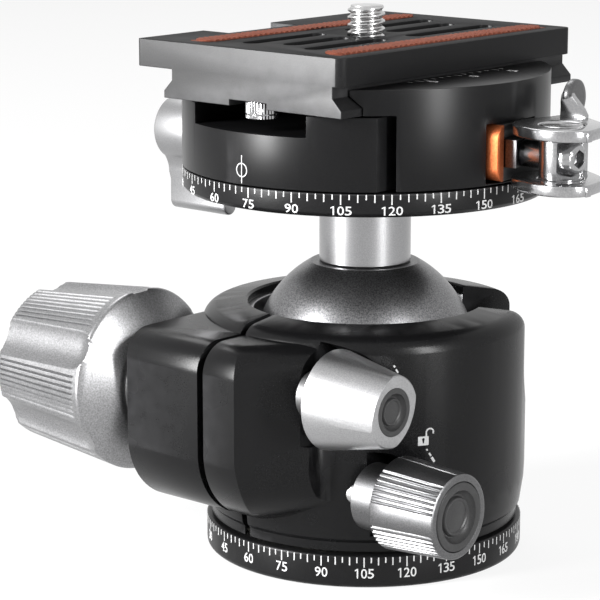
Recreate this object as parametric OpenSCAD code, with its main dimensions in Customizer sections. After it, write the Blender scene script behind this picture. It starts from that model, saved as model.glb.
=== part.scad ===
// Tripod ball head with a panning base and a panning quick-release clamp.
// Origin: centre of the bottom face, on the pan axis. +Z is up, -Y is the front with the index line,
// +X is the side of the clamp lever and of the small knobs, -X is the side of the main knob.

/* [Base] */
// Radius of the base dial
base_r = 27.1; // [26.5:0.1:28]
// Height of the base dial
base_h = 5.6; // [5:0.1:6.2]
// Bore radius of the tripod screw socket
socket_r = 3.97; // [3:0.01:4.5]
// Radius of the pan spindle
spindle_r = 17.5; // [17:0.1:18]
// Height of the pan spindle above the base dial
spindle_h = 11; // [10.5:0.1:11.5]

/* [Housing] */
// Greatest radius of the round housing
house_r = 27.6; // [27:0.1:29]
// Height of the top rim above the ball's centre
rim_rise = 10; // [9.4:0.1:10.6]
// Width of the clamping slit
slit_w = 1.3; // [0.8:0.1:1.8]
// X of the slit's middle
slit_x = -3.4; // [-5:0.1:-2.5]
// Half width of the drop notch
notch_r = 8.6; // [8.3:0.05:8.8]
// Reach of the lug beyond the round housing
lug_reach = 9.7; // [9:0.1:10.4]

/* [Ball and stem] */
// Ball radius
ball_r = 19; // [18.5:0.1:19.2]
// Height of the ball's centre
ball_z = 32.8; // [32.4:0.1:33.2]
// Stem radius
stem_r = 7.75; // [7.4:0.05:7.9]

/* [Knobs] */
// Radius of the main knob at its shoulder
knob_r = 15.65; // [14:0.05:16.5]
// Radius of the main knob at its outer end
knob_end_r = 13.55; // [12:0.05:14.5]
// Length of the main knob's grip
knob_len = 22.5; // [20:0.1:24]
// Radius of the clamp screw
clamp_screw_r = 3; // [2.5:0.1:3.5]
// Height of the clamp screw's axis
clamp_screw_z = 29.4; // [29:0.1:30]
// Radius of the friction knob at its root
friction_knob_r = 8.2; // [7.5:0.1:8.4]
// Height of the friction knob's axis
friction_z = 33; // [32.6:0.1:33.2]
// Radius of the pan knob at its root
pan_knob_r = 7.7; // [7:0.1:8]
// Height of the pan screw's axis
pan_screw_z = 16.1; // [15.6:0.1:16.4]

/* [Head] */
// Radius of the head dial and the clamp body
head_r = 30.8; // [30:0.1:31.5]
// Height of the head dial's bottom face above the ball's centre
head_reach = 29.4; // [29.2:0.1:30]
// Height of the head dial
dial_h = 3.8; // [3.4:0.1:4]
// Height of the clamp body up to the face that the plate rests on
clamp_h = 11.7; // [11.6:0.1:12.2]
// Width of the dovetail, the common camera plate size
dovetail_w = 38; // [37.6:0.1:38.2]
// Depth of the sliding jaw, from the cut to the head's rim
jaw_depth = 9.8; // [9.3:0.1:10.2]
// Travel of the sliding jaw
jaw_travel = 1.8; // [1.2:0.1:2]
// Distance of the clamp lever's pivot pin beyond the clamp body
pivot_reach = 9.2; // [9:0.1:9.5]
// Radius of the pivot pin
pivot_r = 3.5; // [3.2:0.1:3.7]
// Radius of the cam noses
cam_r = 7.2; // [7:0.05:7.3]
// Offset of the cam's centre from the pivot
cam_offset = 1.6; // [1.5:0.05:1.7]
// Radius of the draw bolt
draw_bolt_r = 2.2; // [1.8:0.1:2.4]
// Depth of the draw bolt's axis below that face
bolt_drop = 6.8; // [6.6:0.1:7]

/* [Plate] */
// Length of the plate along its slide
plate_len = 61; // [58:0.5:62]
// Y of the plate's front end
plate_front = -28.8; // [-29.5:0.1:-28]
// Thickness of the plate
plate_t = 9.3; // [9:0.1:9.6]
// Thickness of the plate's top flange
flange_t = 4.5; // [4.2:0.1:4.8]
// X of the wide left edge of the flange
flange_left = -25; // [-26:0.1:-24]
// Nominal radius of the camera screw
camera_screw_r = 3.175; // [3.1:0.005:3.2]
// Height of the camera screw above the plate
camera_screw_h = 5; // [4:0.1:6]

/* [Fits] */
// Gap between turning faces
turn_gap = 0.5; // [0.4:0.05:0.8]
// Gap around the ball
ball_gap = 0.3; // [0.3:0.05:0.5]
// Gap of sliding faces
slide_gap = 0.3; // [0.25:0.05:0.4]
// Radial clearance of shafts and pins in their bores
shaft_fit = 0.05; // [0.03:0.01:0.08]

/* [Hidden] */
$fn = 64;
eps = 0.02;
house_z = base_h + turn_gap;
lug_y = -house_r - lug_reach;
lug_x = 7.6 - house_r;
clamp_screw_y = 0.6 - house_r;
pan_screw_y = 7.1 - house_r;
pivot_x = head_r + pivot_reach;
rim_r = ball_r + 0.9;
house_top = ball_z + rim_rise;
liner_z = house_top - 3.9;
dial_z = ball_z + head_reach;
spindle_top = base_h + spindle_h;
chamber_r = spindle_r + 0.9;
chamber_z = spindle_top - 1.4;
chamber_top = spindle_top + 1.8;
seat_r = 16.6;
seat_top = chamber_top + 4.2;
brake_axis = 225;
brake_pad_r = 5.4;
brake_pad_out = 22.6;
clamp_z = dial_z + dial_h + slide_gap;
land_z = clamp_z + clamp_h;
draw_bolt_z = land_z - bolt_drop;
plate_z = land_z + slide_gap;
plate_top = plate_z + plate_t;
flange_z = plate_top - flange_t;
half_w = dovetail_w / 2;
waist_in = 1.8;
lip_top = flange_z - 0.7;
cam_angle = 150;
cam_reach = cam_r - cam_offset * cos(cam_angle);
saddle_face_x = pivot_x - cam_reach - slide_gap - 0.1;
saddle_curve_r = 14;
saddle_z = draw_bolt_z - 4.4;
saddle_h = 9.1;
fork_gap_h = 6.7;
fork_t = 1.85;
fork_h = fork_gap_h + 2 * fork_t;
jaw_face_x = head_r - 1.5;
jaw_cut_x = head_r - jaw_depth;
jaw_x = jaw_cut_x + jaw_travel + slide_gap;

// Points of an arc: centre, radius, start angle, end angle
function arc(c, r, a0, a1, n = 8) = [for (i = [0:n]) let (a = a0 + (a1 - a0) * i / n) c + r * [cos(a), sin(a)]];

// A cylinder along +X that starts at x and has the radius r and the length h
module rod_x(x, y, z, r, h) { translate([x, y, z]) rotate([0, 90, 0]) cylinder(r = r, h = h); }

// Turns a profile given as [distance along X, radius] about an axis along X
module turned_x(y, z, points) {
  translate([0, y, z]) rotate([0, 90, 0]) rotate_extrude() polygon([for (p = points) [p[1], p[0]]]);
}

// Lays a child drawn in [y, z] along X from x0 to x1
module along_x(x0, x1) {
  translate([x0, 0, 0]) rotate([90, 0, 90]) linear_extrude(x1 - x0) children();
}

// Places children with +X towards the given direction, at the ball's centre
module from_ball(angle) { translate([0, 0, ball_z]) rotate([0, 0, angle]) children(); }

// ---- Base ----
base_bolt_ring_r = 12;
bushing_r = 7;
pad_in = 19;
pad_out = 24.4;
pad_t = 0.8;

module base_dial() color("#202020") difference() {
  rotate_extrude() polygon(concat([[0, 0], [base_r - 1, 0]], arc([base_r - 1, 1], 1, -90, 0),
    [[base_r, base_h - 0.3], [base_r - 0.3, base_h], [0, base_h]]));
  translate([0, 0, -1]) cylinder(r = bushing_r, h = base_h + 2);
  translate([0, 0, -1]) difference() {
    cylinder(r = pad_out, h = 1 + pad_t);
    cylinder(r = pad_in, h = 1 + pad_t);
  }
  for (i = [0:2]) rotate([0, 0, 60 + 120 * i]) translate([base_bolt_ring_r, 0, 0]) {
    translate([0, 0, -1]) cylinder(r = 1.7, h = base_h + 2);
    translate([0, 0, -1]) cylinder(r = 3.1, h = 3.4);
  }
}

module base_pad() color("#303030") difference() {
  cylinder(r = pad_out, h = pad_t);
  translate([0, 0, -1]) cylinder(r = pad_in, h = pad_t + 2);
}

module tripod_bushing() color("silver") difference() {
  cylinder(r = bushing_r, h = 11.3);
  translate([0, 0, -1]) cylinder(r = socket_r, h = 11);
}

module base_screws() color("silver") for (i = [0:2])
  rotate([0, 0, 60 + 120 * i]) translate([base_bolt_ring_r, 0, 0]) difference() {
    union() {
      translate([0, 0, 0.4]) cylinder(r = 2.9, h = 2);
      translate([0, 0, 0.4]) cylinder(r = 1.5, h = base_h + 5);
    }
    translate([0, 0, -0.6]) cylinder(r = 1.5, h = 2.2, $fn = 6);
  }

module pan_spindle() color("#8a8d90") difference() {
  translate([0, 0, base_h]) cylinder(r = spindle_r, h = spindle_h - 1);
  translate([0, 0, ball_z - ball_r - 0.6]) cylinder(r = 12, h = 10);
  translate([0, 0, base_h - 1]) cylinder(r = bushing_r, h = 6.8);
  for (i = [0:2]) rotate([0, 0, 60 + 120 * i]) translate([base_bolt_ring_r, 0, base_h - 1])
    cylinder(r = 1.5, h = 6.6);
}

module spindle_ring() color("#b5a642") difference() {
  translate([0, 0, spindle_top - 1]) cylinder(r = spindle_r + 0.5, h = 1);
  translate([0, 0, spindle_top - 2]) cylinder(r = 12, h = 3);
}

module pan_washer() color("ivory") difference() {
  translate([0, 0, base_h]) cylinder(r = 24, h = turn_gap - 0.15);
  translate([0, 0, base_h - 1]) cylinder(r = 18.6, h = 3);
}

// ---- Housing ----
lug_bottom = house_z + 3.9;
lug_top = house_top - 2.2;
slant = 48.4;
slant_from_x = 4;
slant_reach = slant_from_x * sin(slant) - lug_y * cos(slant);
lug_end_x = 12;
blend_r = 4;
blend_y = -sqrt(pow(house_r + blend_r, 2) - pow(lug_end_x + blend_r, 2));

// Side profile of the lug in [y, z]: outer face, back face, radius of the lower curve
module lug_profile(outer, back, low_r) {
  polygon([[back, lug_top], [outer + 5, lug_top], [outer, lug_top - 5], [outer, lug_bottom + low_r],
    [outer + low_r, lug_bottom], [back, lug_bottom]]);
  translate([outer + 5, lug_top - 5]) circle(r = 5);
  translate([outer + low_r, lug_bottom + low_r]) circle(r = low_r);
}

module slant_prism() { rotate([0, 0, slant]) along_x(-60, 60) lug_profile(-slant_reach, 60, 11); }

// The hollow round between the lug's end face and the round housing
module lug_blend() {
  intersection() {
    linear_extrude(60) difference() {
      polygon([[lug_end_x - 0.5, blend_y], [lug_end_x + blend_r, blend_y],
        0.97 * house_r / (house_r + blend_r) * [lug_end_x + blend_r, blend_y], [lug_end_x - 0.5, -22]]);
      translate([lug_end_x + blend_r, blend_y]) circle(r = blend_r + 0.08);
    }
    slant_prism();
  }
}

module housing_shape() {
  rotate_extrude() polygon(concat(
    [[0, house_z], [house_r - 1.3, house_z], [house_r - 1.3, house_z + 1.5], [house_r - 0.7, house_z + 2.2]],
    [[house_r - 0.1, 12.5], [house_r, 15]],
    arc([house_r - 3, house_top - 3.6], 3, 0, 80),
    [[rim_r + 0.4, house_top], [rim_r, house_top - 0.3], [0, house_top - 0.3]]));
  intersection() {
    along_x(lug_x, lug_end_x) lug_profile(lug_y, -14, 12.6);
    slant_prism();
  }
  lug_blend();
}

module notch() {
  from_ball(45) translate([8, 0, 0]) {
    rotate([0, 90, 0]) cylinder(r = notch_r, h = 40);
    translate([0, -notch_r, 0]) cube([40, 2 * notch_r, 30]);
  }
}

friction_pocket_x = house_r - 16.5;
friction_screw_r = 2;
friction_screw_in = 7.4;
pan_spot_x = house_r - 9.6;
clamp_nut_x = 3.6;
clamp_nut_r = 4.6;
clamp_nut_len = 3.2;

module housing() color("#161616") difference() {
  housing_shape();
  translate([0, 0, ball_z]) sphere(r = ball_r + ball_gap);
  translate([0, 0, liner_z]) cylinder(r = rim_r, h = 10);
  translate([0, 0, 0]) cylinder(r = spindle_r + shaft_fit, h = chamber_z + 1);
  translate([0, 0, chamber_z]) cylinder(r = chamber_r, h = chamber_top - chamber_z);
  translate([0, 0, chamber_top - 1]) cylinder(r = seat_r, h = seat_top - chamber_top + 1);
  notch();
  translate([slit_x - slit_w / 2, -60, -1]) cube([slit_w, 60 - 12, 60]);
  from_ball(brake_axis) translate([14, 0, 0]) rotate([0, 90, 0]) {
    cylinder(r = brake_pad_r + 0.4, h = brake_pad_out + 0.4 - 14);
    cylinder(r = 2 + shaft_fit, h = 25.6 - 14);
  }
  rod_x(-30, clamp_screw_y, clamp_screw_z, clamp_screw_r + shaft_fit, 30 + clamp_nut_x);
  rod_x(clamp_nut_x - eps, clamp_screw_y, clamp_screw_z, clamp_nut_r, clamp_nut_len + eps);
  rod_x(friction_screw_in - 0.3, clamp_screw_y, friction_z, friction_screw_r + shaft_fit, 30);
  rod_x(friction_pocket_x, clamp_screw_y, friction_z, friction_knob_r + 0.4, 30);
  rod_x(pan_spot_x, pan_screw_y, pan_screw_z, 7.2, 20);
  rod_x(1, pan_screw_y, pan_screw_z, 3.2, 8.8);
  rod_x(1, pan_screw_y, pan_screw_z, 2.4 + shaft_fit, 30);
}

module rim_liner() color("#c9cbcd") difference() {
  translate([0, 0, liner_z]) cylinder(r = rim_r, h = 2.4);
  translate([0, 0, liner_z - 0.9]) cylinder(r = rim_r - 1, h = 5);
  notch();
  translate([slit_x - slit_w / 2, -60, 30]) cube([slit_w, 48, 20]);
}

module ball_seat() color("ivory") difference() {
  translate([0, 0, chamber_top]) cylinder(r = seat_r, h = seat_top - chamber_top);
  translate([0, 0, ball_z]) sphere(r = ball_r + ball_gap);
  notch();
  translate([slit_x - slit_w / 2, -60, 10]) cube([slit_w, 48, 20]);
}

module clamp_nut() color("silver") difference() {
  rod_x(clamp_nut_x, clamp_screw_y, clamp_screw_z, clamp_nut_r, clamp_nut_len);
  rod_x(clamp_nut_x - 1, clamp_screw_y, clamp_screw_z, clamp_screw_r + shaft_fit, 10);
}

module knob_washer() color("silver") difference() {
  rod_x(lug_x - 0.6, clamp_screw_y, clamp_screw_z, 6.5, 0.6);
  rod_x(lug_x - 2, clamp_screw_y, clamp_screw_z, clamp_screw_r + shaft_fit, 4);
}

module pan_shoe() color("#b5a642") difference() {
  rod_x(1.2, pan_screw_y, pan_screw_z, 3.2, 8);
  translate([0, 0, pan_screw_z - 10]) cylinder(r = spindle_r + 0.85, h = 20);
}

// ---- Main knob ----
knob_root_x = lug_x - 0.9;
knob_shoulder_x = knob_root_x - 5.5;
knob_end_x = knob_shoulder_x - knob_len;
collar_t = 1.4;
flute_r = 5;
flute_out = 3.4;
flute_tilt = atan((knob_r - knob_end_r) / knob_len);

module clamp_screw() color("silver")
  rod_x(knob_end_x + 6, clamp_screw_y, clamp_screw_z, clamp_screw_r, clamp_nut_x + 2.6 - knob_end_x - 6);

module knob_collar() color("#3a3a3c") difference() {
  turned_x(clamp_screw_y, clamp_screw_z, [[knob_root_x, 0], [knob_root_x, 8.2], [knob_root_x - 0.5, 8.7],
    [knob_root_x - collar_t, 8.7], [knob_root_x - collar_t, 0]]);
  rod_x(knob_end_x, clamp_screw_y, clamp_screw_z, clamp_screw_r, 60);
}

// A rod with a round lower end, as the cutter of a flute leaves it
module bullet(r, h) rotate_extrude() intersection() {
  union() {
    circle(r = r);
    square([r, h]);
  }
  translate([0, -r]) square([r, r + h]);
}

module main_knob() color("#b9bbbe") difference() {
  turned_x(clamp_screw_y, clamp_screw_z, [[knob_root_x - collar_t, 0], [knob_root_x - collar_t, 8.9],
    [knob_shoulder_x + 0.7, knob_r - 0.9], [knob_shoulder_x, knob_r], [knob_end_x + 1.2, knob_end_r + 0.1],
    [knob_end_x, knob_end_r - 1.1], [knob_end_x, 0]]);
  rod_x(knob_end_x + 6, clamp_screw_y, clamp_screw_z, clamp_screw_r, 60);
  rod_x(knob_end_x - 1, clamp_screw_y, clamp_screw_z, 8.4, 2);
  translate([0, clamp_screw_y, clamp_screw_z]) for (i = [0:5]) rotate([i * 60 + 2.5, 0, 0])
    translate([knob_shoulder_x - 2.8, 0, knob_r + flute_out]) rotate([0, -90 - flute_tilt, 0])
      bullet(flute_r, 40);
}

// ---- Friction knob ----
friction_face_x = friction_pocket_x + 17.4;
friction_root_x = friction_face_x - 12.3;
friction_face_r = 5.85;
friction_wing = 57;

module friction_screw() color("silver")
  rod_x(friction_screw_in, clamp_screw_y, friction_z, friction_screw_r, 16.6);

// The two milled sides of the knob, each a tilted cylinder that leaves a wing above and below
module friction_sides() intersection_for(s = [90, -90]) translate([0, clamp_screw_y, friction_z])
  rotate([friction_wing + s, 0, 0]) translate([friction_root_x, -0.2, 0]) rotate([0, 0, -15.5])
    rotate([0, 90, 0]) translate([0, 0, -10]) cylinder(r = friction_knob_r, h = 40);

module friction_knob() color("#c4c6c8") difference() {
  union() {
    rod_x(friction_pocket_x + 0.4, clamp_screw_y, friction_z, 3.9, 8);
    intersection() {
      turned_x(clamp_screw_y, friction_z, [[friction_root_x, 0], [friction_root_x, friction_knob_r - 0.2],
        [friction_root_x + 0.2, friction_knob_r], [friction_face_x - 0.2, friction_face_r],
        [friction_face_x, friction_face_r - 0.2], [friction_face_x, 0]]);
      friction_sides();
    }
  }
  rod_x(0, clamp_screw_y, friction_z, friction_screw_r, friction_screw_in + 16.6);
  rod_x(friction_face_x - 1.2, clamp_screw_y, friction_z, 3.9, 5);
}

module friction_insert() color("#101010") difference() {
  rod_x(friction_face_x - 1.2, clamp_screw_y, friction_z, 3.9, 1.4);
  translate([friction_face_x + 3.6, clamp_screw_y, friction_z]) sphere(r = 4.2);
}

// ---- Pan knob ----
pan_face_x = pan_spot_x + 18.5;
pan_root_x = pan_spot_x + 6.2;

module pan_screw() color("silver") rod_x(9.6, pan_screw_y, pan_screw_z, 2.4, 21);

module pan_knob() color("#c4c6c8") difference() {
  turned_x(pan_screw_y, pan_screw_z, [[pan_spot_x + 0.4, 0], [pan_spot_x + 0.4, 5.5], [pan_root_x, 5.5],
    [pan_root_x, pan_knob_r - 0.4], [pan_root_x + 0.4, pan_knob_r], [pan_face_x - 0.4, pan_knob_r - 0.8],
    [pan_face_x, pan_knob_r - 1.2], [pan_face_x, 0]]);
  rod_x(0, pan_screw_y, pan_screw_z, 2.4, 30.6);
  rod_x(pan_face_x - 1.4, pan_screw_y, pan_screw_z, 5.6, 5);
}

module pan_insert() color("#101010") difference() {
  rod_x(pan_face_x - 1.4, pan_screw_y, pan_screw_z, 5.6, 1.7);
  translate([pan_face_x + 5.6, pan_screw_y, pan_screw_z]) sphere(r = 6.2);
}

// ---- Ball and stem ----
stem_joint_z = ball_z + 16.6;
stem_pin_z = ball_z + 9.5;

module brake_pad() color("ivory") difference() {
  from_ball(brake_axis) rotate([0, 90, 0]) {
    translate([0, 0, 14]) cylinder(r = brake_pad_r, h = brake_pad_out - 14);
    translate([0, 0, 20]) cylinder(r = 2, h = 25.2 - 20);
  }
  translate([0, 0, ball_z]) sphere(r = ball_r + ball_gap);
}

module ball() color("#55585c") difference() {
  translate([0, 0, ball_z]) sphere(r = ball_r);
  translate([0, 0, stem_joint_z]) cylinder(r = 20, h = 10);
  translate([0, 0, stem_pin_z - 0.5]) cylinder(r = 3 + shaft_fit, h = 30);
}

module stem() color("#c8cacc") difference() {
  union() {
    translate([0, 0, stem_joint_z + slide_gap]) cylinder(r = stem_r, h = dial_z - stem_joint_z - slide_gap);
    translate([0, 0, stem_pin_z]) cylinder(r = 3, h = dial_z - stem_pin_z - 1);
  }
  translate([0, 0, dial_z - 8]) cylinder(r = 2.5, h = 20);
}

// ---- Head dial ----
hub_r = 12;
hub_h = 4.5;

module head_dial() color("#202020") difference() {
  rotate_extrude() polygon([[0, dial_z], [head_r - 0.7, dial_z], [head_r, dial_z + 0.7],
    [head_r, dial_z + dial_h - 0.2], [head_r - 0.2, dial_z + dial_h], [hub_r, dial_z + dial_h],
    [hub_r, dial_z + dial_h + hub_h], [0, dial_z + dial_h + hub_h]]);
  translate([0, 0, dial_z - 1]) cylinder(r = 2.5, h = 20);
  translate([0, 0, dial_z + 3]) cylinder(r = 4.6, h = 10);
}

module head_screw() color("silver") difference() {
  union() {
    translate([0, 0, dial_z - 8]) cylinder(r = 2.5, h = 12);
    translate([0, 0, dial_z + 3]) cylinder(r = 4.6, h = 3);
  }
  translate([0, 0, dial_z + 3.8]) cylinder(r = 2.3, h = 5, $fn = 6);
}

retain_z = dial_z + dial_h + hub_h;

module head_bearing() color("#b5a642") difference() {
  translate([0, 0, retain_z]) cylinder(r = hub_r + 1.2, h = 1);
  translate([0, 0, retain_z - 1]) cylinder(r = 6, h = 3);
}

// ---- Clamp body ----
relief_z = land_z - 3.4;
relief_left = -12.8;
relief_right = 11.6;
lever_hub_y = -2;
bolt_in_x = 14.8;
guide_pin_y = 14.5;
guide_pin_r = 1.5;
guide_end_x = sqrt(pow(head_r, 2) - pow(guide_pin_y, 2)) - 2.6;
spring_y = 9.2;
spring_hole_r = 1.9;
lever_hub_z = clamp_z + 2;

// Outline of a dovetail lip in [x, z], drawn for the right side
module lip_outline(outer_x, low) {
  polygon([[half_w + slide_gap, low], [half_w + slide_gap, plate_z + 1.2 + 0.1],
    [half_w - waist_in + slide_gap * 1.4, plate_z + 1.2 + waist_in + 0.1],
    [half_w - waist_in + slide_gap * 1.4, lip_top], [outer_x, lip_top], [outer_x, low]]);
}

module head_blank(z, h) { translate([0, 0, z]) cylinder(r = head_r, h = h); }

lever_screw_r = 1.5;
head_brake_x = -17;

module lever_screw_hole(r, x1) { rod_x(-60, lever_hub_y, lever_hub_z, r, 60 + x1); }

module clamp_body() color("#1b1b1b") difference() {
  union() {
    intersection() {
      head_blank(clamp_z, clamp_h);
      translate([-50, -50, 0]) cube([50 + jaw_cut_x, 100, 200]);
    }
    intersection() {
      head_blank(land_z - 0.01, lip_top - land_z + 0.01);
      mirror([1, 0, 0]) translate([0, 50, 0]) rotate([90, 0, 0]) linear_extrude(100) lip_outline(50, land_z - 0.01);
    }
  }
  translate([relief_left, -50, relief_z]) cube([relief_right - relief_left, 100, 20]);
  translate([0, 0, clamp_z - 1]) cylinder(r = hub_r + shaft_fit, h = retain_z - clamp_z + 0.85);
  translate([0, 0, retain_z - 0.15]) cylinder(r = hub_r + 1.6, h = 1.6);
  lever_screw_hole(lever_screw_r + shaft_fit, -hub_r);
  rod_x(bolt_in_x, 0, draw_bolt_z, draw_bolt_r, 20);
  rod_x(bolt_in_x, 0, draw_bolt_z, 3.4, 3.2);
  for (s = [-1, 1]) {
    rod_x(jaw_cut_x - 7, s * guide_pin_y, draw_bolt_z, guide_pin_r, 8);
    rod_x(jaw_cut_x - 4, s * spring_y, draw_bolt_z, spring_hole_r, 5);
  }
}

module guide_pins() color("silver") for (s = [-1, 1])
  rod_x(jaw_cut_x - 7, s * guide_pin_y, draw_bolt_z, guide_pin_r, guide_end_x - jaw_cut_x + 7);

bolt_head_x = pivot_x + 1.4;
bolt_head_r = 2.9;

module draw_bolt() color("#d0d0d0") difference() {
  union() {
    rod_x(bolt_in_x, 0, draw_bolt_z, draw_bolt_r, bolt_head_x - bolt_in_x + 1);
    turned_x(0, draw_bolt_z, [[bolt_head_x, 0], [bolt_head_x, bolt_head_r], [bolt_head_x + 0.9, bolt_head_r],
      [bolt_head_x + 1.5, 2.6], [bolt_head_x + 2, 2.1], [bolt_head_x + 2.1, 1.8], [bolt_head_x + 2.1, 0]]);
  }
  rod_x(bolt_head_x + 0.6, 0, draw_bolt_z, 1.5, 5, $fn = 6);
}

module bolt_nut() color("silver") difference() {
  rod_x(bolt_in_x, 0, draw_bolt_z, 3.4, 3.2);
  rod_x(bolt_in_x - 1, 0, draw_bolt_z, draw_bolt_r, 10);
}

module pivot_pin() color("silver") difference() {
  translate([pivot_x, 0, draw_bolt_z - fork_h / 2]) cylinder(r = pivot_r, h = fork_h);
  rod_x(pivot_x - 10, 0, draw_bolt_z, draw_bolt_r, 20);
  translate([bolt_head_x, -5, draw_bolt_z - 3.2]) cube([5, 10, 6.4]);
}

module head_brake() color("#b5a642")
  rod_x(head_brake_x, lever_hub_y, lever_hub_z, lever_screw_r, -hub_r - 0.4 - head_brake_x);

// ---- Sliding jaw ----
module jaw() color("#1b1b1b") difference() {
  union() {
    intersection() {
      head_blank(clamp_z, clamp_h);
      translate([jaw_x, -50, 0]) cube([50, 100, 200]);
    }
    intersection() {
      head_blank(land_z - 1, lip_top - land_z + 1);
      union() {
        translate([0, 50, 0]) rotate([90, 0, 0]) linear_extrude(100) lip_outline(50, land_z + slide_gap);
        translate([jaw_x, -50, 0]) cube([50, 100, 200]);
      }
    }
  }
  rod_x(0, 0, draw_bolt_z, draw_bolt_r + shaft_fit, 60);
  for (s = [-1, 1]) {
    rod_x(0, s * guide_pin_y, draw_bolt_z, guide_pin_r + shaft_fit, guide_end_x + 0.3);
    rod_x(0, s * spring_y, draw_bolt_z, spring_hole_r, jaw_cut_x + 3.4);
  }
  translate([jaw_face_x - 2, -6.4, saddle_z - 0.2]) cube([10, 12.8, saddle_h + 0.4]);
}

module saddle() color("#b8602e") difference() {
  translate([jaw_face_x - 2, -6.2, saddle_z]) cube([4.8, 12.4, saddle_h]);
  translate([jaw_face_x + 1, -3.6, saddle_z + 2.2]) cube([10, 7.2, saddle_h - 4.4]);
  translate([saddle_face_x + saddle_curve_r, 0, 60]) cylinder(r = saddle_curve_r, h = 30);
  rod_x(0, 0, draw_bolt_z, draw_bolt_r + shaft_fit, 60);
}

module pressure_block() color("#5a5c60") difference() {
  translate([jaw_face_x + 1, -3.4, saddle_z + 2.3]) cube([4.2, 6.8, saddle_h - 4.6]);
  translate([pivot_x, 0, 60]) cylinder(r = pivot_r + 3.6, h = 30);
  rod_x(0, 0, draw_bolt_z, draw_bolt_r + shaft_fit, 60);
}

spring_r = 1.2;
spring_wire = 0.5;
spring_turns = 6;

module jaw_springs() color("silver") for (s = [-1, 1]) translate([jaw_cut_x - 4, s * spring_y, draw_bolt_z])
  rotate([0, 90, 0]) linear_extrude(7.4, twist = 360 * spring_turns, slices = 48, $fn = 8)
    translate([spring_r, 0]) circle(r = spring_wire);

// ---- Pan lever of the head ----
lever_in_x = -head_r - 0.4;
lever_out_x = lever_in_x - 11.2;
lever_arm_t = 3.2;
lever_hub_r = 5.7;
lever_drop = 12.9;
lever_flank = concat([[lever_hub_r - 0.1, 1], [lever_hub_r - 0.1, -1]], arc([-0.2, 0], 5.7, -20, -44, 3),
  arc([7.05, -7.9], 5.05, 128, 180, 6), [[lever_arm_t / 2, -9.2], [lever_arm_t / 2, -lever_drop]]);

module pan_lever() color("#c8cacd") difference() {
  union() {
    along_x(lever_out_x, lever_in_x) translate([lever_hub_y, lever_hub_z]) {
      circle(r = lever_hub_r);
      for (s = [-1, 1]) polygon(concat([for (p = lever_flank) [s * p[0], p[1]]], [[0, -lever_drop], [0, 1]]));
    }
    along_x(lever_out_x, lever_in_x + 2) translate([lever_hub_y, lever_hub_z - lever_drop]) {
      translate([-lever_arm_t / 2, 0]) square([lever_arm_t, 2.6]);
      circle(r = lever_arm_t / 2);
    }
  }
  lever_screw_hole(lever_screw_r, -20);
  rod_x(lever_out_x - 1, lever_hub_y, lever_hub_z, 3.6, 2);
}

module lever_screw() color("silver") difference() {
  union() {
    rod_x(lever_out_x + 0.4, lever_hub_y, lever_hub_z, lever_screw_r, head_brake_x - 0.4 - lever_out_x - 0.4);
    rod_x(lever_out_x + 0.1, lever_hub_y, lever_hub_z, 3.55, 0.9);
  }
  rod_x(lever_out_x - 1, lever_hub_y, lever_hub_z, 1.6, 1.8, $fn = 6);
}

// ---- Clamp lever ----
thumb_x = pivot_x - 6.5;
thumb_y = 13;
thumb_r = 3.3;
web_y = 7.1;

module fork_plate() linear_extrude(fork_t) difference() {
  union() {
    translate(cam_offset * [cos(cam_angle), sin(cam_angle)]) circle(r = cam_r);
    polygon([[-7, 4], [-6.6, 9], [-0.6, 9], [3, 6.8], [6.5, 3], [7.4, -2.9], [6, -5.8], [4, -6.8], [1.5, -7.1], [-2, -6.6]]);
  }
  circle(r = pivot_r + shaft_fit);
}

module clamp_lever() color("#d6d8da") {
  translate([pivot_x, 0, draw_bolt_z + fork_gap_h / 2]) fork_plate();
  translate([pivot_x, 0, draw_bolt_z - fork_gap_h / 2 - fork_t]) fork_plate();
  translate([pivot_x - 6.2, web_y, draw_bolt_z - fork_gap_h / 2 - 0.1]) cube([5.4, 1.9, fork_gap_h + 0.2]);
  hull() {
    translate([pivot_x - 6.2, web_y + 0.7, draw_bolt_z - fork_h / 2]) cube([5.4, 1.2, fork_h]);
    translate([thumb_x, thumb_y, draw_bolt_z + 5.2]) rotate([0, 90, -8]) cylinder(r = 2, h = 2, $fn = 32);
  }
  translate([thumb_x, thumb_y, draw_bolt_z + 7.4]) rotate([0, 90, -8]) cylinder(r = thumb_r, h = 2);
}

// ---- Plate ----
slot_depth_z = plate_z - 1;

module plate_section() polygon([[-half_w, plate_z], [half_w, plate_z], [half_w, plate_z + 1.2],
  [half_w - waist_in, plate_z + 1.2 + waist_in], [half_w - waist_in, flange_z], [half_w, flange_z],
  [half_w, plate_top], [-half_w, plate_top], [-half_w, flange_z], [-half_w + waist_in, flange_z],
  [-half_w + waist_in, plate_z + 1.2 + waist_in], [-half_w, plate_z + 1.2]]);

// A slot through the plate from y0 to y1
module slot(x, y0, y1, w) {
  translate([x, y0 + w / 2, slot_depth_z]) cylinder(r = w / 2, h = 20);
  translate([x, y1 - w / 2, slot_depth_z]) cylinder(r = w / 2, h = 20);
  translate([x - w / 2, y0 + w / 2, slot_depth_z]) cube([w, y1 - y0 - w, 20]);
}

module flange_wing(y0, y1) translate([flange_left, y0, flange_z]) {
  cube([-flange_left - half_w + 1, y1 - y0, flange_t]);
}

stop_x = 0.4;
stop_y = -26.3;
strip_w = 2.4;
strip_x = 14.8;
strip_y0 = -25.5;
strip_y1 = 28.6;

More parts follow.
